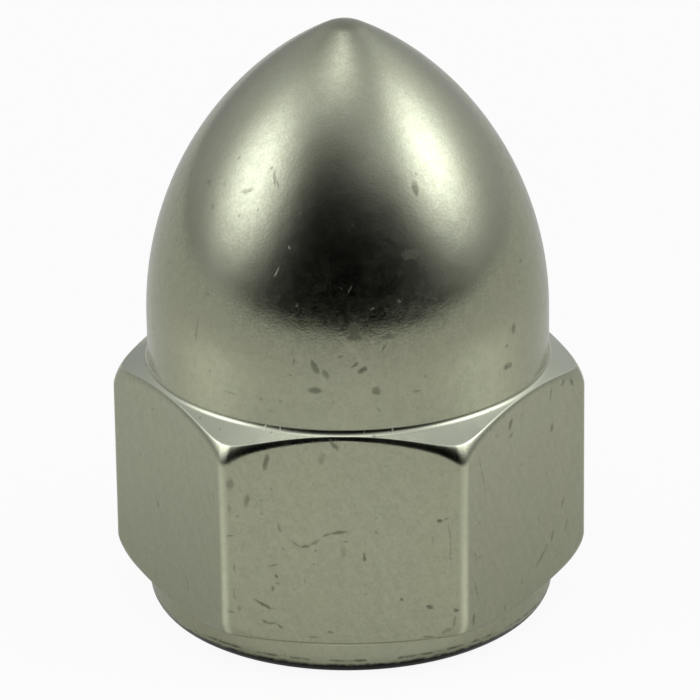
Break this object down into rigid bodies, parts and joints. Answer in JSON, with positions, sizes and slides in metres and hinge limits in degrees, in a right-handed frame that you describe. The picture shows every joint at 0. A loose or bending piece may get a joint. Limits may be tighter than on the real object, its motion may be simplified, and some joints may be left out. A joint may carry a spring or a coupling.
{
  "type": "cap nut",
  "caption": "High-crown cap nut: a hexagon for a wrench, a tall pointed dome that covers the bolt's end, a short turned collar with a flat bearing face, and a blind threaded hole.",
  "frame": {"origin": "middle of the bearing face, on the thread's axis", "axes": "+Z along the thread's axis to the tip of the crown, +X through an upright corner of the hexagon, -Y square to the hexagon's front flat"},
  "size_m": [0.0196, 0.017, 0.0254],
  "materials": {
    "nickel_plate": "satin nickel plate on steel, with fine rub marks and small pits"
  },
  "bodies": {
    "root": {"cap_nut": "nickel_plate"}
  },
  "joints": []
}
